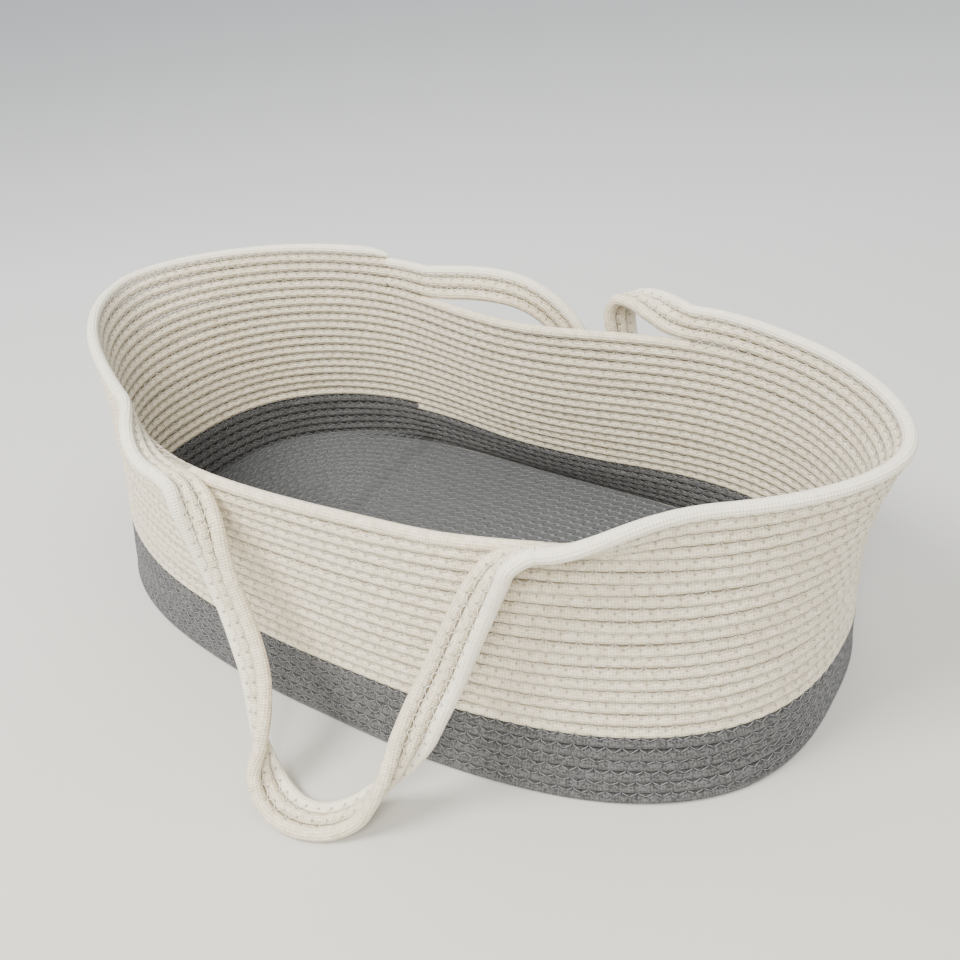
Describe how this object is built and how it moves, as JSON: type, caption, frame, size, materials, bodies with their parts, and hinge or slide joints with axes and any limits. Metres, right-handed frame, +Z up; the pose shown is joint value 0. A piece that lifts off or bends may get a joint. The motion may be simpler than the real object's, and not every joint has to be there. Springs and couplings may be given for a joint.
{
  "type": "baby carrying basket",
  "caption": "Oval coiled-rope baby basket with grey foot, cream wall and soft carrying handles made from its own top courses.",
  "frame": {"origin": "on the ground, at the middle of the floor coil", "axes": "+X along the basket's length towards the end nearer the handles, +Z up, -Y the side of the handle that lies on the ground"},
  "size_m": [0.7658, 0.5165, 0.2427],
  "materials": {
    "cream_rope": "braided ivory cotton rope, matt, with zigzag stitching between the courses",
    "grey_rope": "braided heather grey cotton rope, matt, with zigzag stitching between the courses",
    "thread": "ivory sewing thread"
  },
  "bodies": {
    "basket": {"floor_coil": "grey_rope", "wall_course_01_grey": "grey_rope", "wall_course_02_grey": "grey_rope", "wall_course_03_grey": "grey_rope", "wall_course_04_grey": "grey_rope", "wall_course_05_grey": "grey_rope", "wall_course_06_grey": "grey_rope", "wall_course_07_cream": "cream_rope", "wall_course_08_cream": "cream_rope", "wall_course_09_cream": "cream_rope", "wall_course_10_cream": "cream_rope", "wall_course_11_cream": "cream_rope", "wall_course_12_cream": "cream_rope", "wall_course_13_cream": "cream_rope", "wall_course_14_cream": "cream_rope", "wall_course_15_cream": "cream_rope", "wall_course_16_cream": "cream_rope", "wall_course_17_cream": "cream_rope", "wall_course_18_cream": "cream_rope", "wall_course_19_cream": "cream_rope", "wall_course_20_cream": "cream_rope", "wall_course_21_cream": "cream_rope", "wall_course_22_cream": "cream_rope", "wall_course_23_left_end": "cream_rope", "wall_course_23_right_end": "cream_rope", "wall_course_24_left_end": "cream_rope", "wall_course_24_right_end": "cream_rope", "wall_course_25_left_end": "cream_rope", "wall_course_25_right_end": "cream_rope"},
    "front_handle": {"front_handle_inner_rope": "cream_rope", "front_handle_middle_rope": "cream_rope", "front_handle_rim_rope": "cream_rope"},
    "back_handle": {"back_handle_inner_rope": "cream_rope", "back_handle_middle_rope": "cream_rope", "back_handle_rim_rope": "cream_rope"}
  },
  "joints": [
    {"name": "front_handle_swing", "type": "hinge", "parent": "basket", "child": "front_handle", "pos_m": [0.06474, -0.20333, 0.2199], "axis": [-0.9899, -0.1421, 0], "range_deg": [0, 185]},
    {"name": "back_handle_swing", "type": "hinge", "parent": "basket", "child": "back_handle", "pos_m": [0.02378, 0.14691, 0.2279], "axis": [0.9997, 0.024, 0], "range_deg": [0, 145]}
  ]
}
